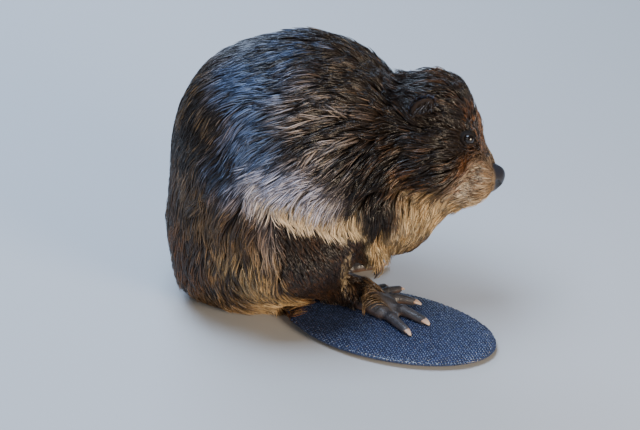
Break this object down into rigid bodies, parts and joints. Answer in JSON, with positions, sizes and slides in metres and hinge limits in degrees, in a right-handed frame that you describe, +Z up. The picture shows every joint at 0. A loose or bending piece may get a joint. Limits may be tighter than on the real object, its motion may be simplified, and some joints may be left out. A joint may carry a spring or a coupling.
{
  "type": "beaver model",
  "caption": "Still life-size beaver sitting hunched on its rump, its flat scaly tail brought forward on the floor under its right hind foot.",
  "frame": {"origin": "on the floor, under the middle of the model's bounding box", "axes": "+Z up, +X the way the head faces, along the animal, +Y to the animal's left"},
  "size_m": [0.423, 0.3229, 0.3624],
  "materials": {
    "coat": "wet guard hair in dark brown with golden tips over the flank, throat and rump",
    "foot_hide": "wet bare hide, wrinkled and faintly scaled, blue-grey brown",
    "tail_hide": "wet blue-black hide with fine hexagonal scales",
    "nose_pad": "moist dark pebbled nose skin",
    "eye": "glossy dark brown eye",
    "hind_claw": "pinkish horn, paler at the tip",
    "fore_claw": "dark horn, worn pale at the tip"
  },
  "bodies": {
    "root": {"trunk": "coat", "neck": "coat", "head": "coat", "hind_leg_right": "coat", "hind_leg_left": "coat", "foreleg_right": "coat", "foreleg_left": "coat", "ear_right": "coat", "ear_left": "coat", "tail_root": "coat", "hind_foot_right": "foot_hide", "hind_foot_left": "foot_hide", "forepaw_right": "foot_hide", "forepaw_left": "foot_hide", "tail_blade": "tail_hide", "nose": "nose_pad", "eye_right": "eye", "eye_left": "eye", "claw_hind_right_1": "hind_claw", "claw_fore_right_1": "fore_claw", "claw_hind_right_2": "hind_claw", "claw_fore_right_2": "fore_claw", "claw_hind_right_3": "hind_claw", "claw_fore_right_3": "fore_claw", "claw_hind_right_4": "hind_claw", "claw_fore_right_4": "fore_claw", "claw_hind_right_5": "hind_claw", "claw_fore_right_5": "fore_claw", "claw_hind_left_1": "hind_claw", "claw_fore_left_1": "fore_claw", "claw_hind_left_2": "hind_claw", "claw_fore_left_2": "fore_claw", "claw_hind_left_3": "hind_claw", "claw_fore_left_3": "fore_claw", "claw_hind_left_4": "hind_claw", "claw_fore_left_4": "fore_claw", "claw_hind_left_5": "hind_claw", "claw_fore_left_5": "fore_claw"}
  },
  "joints": []
}
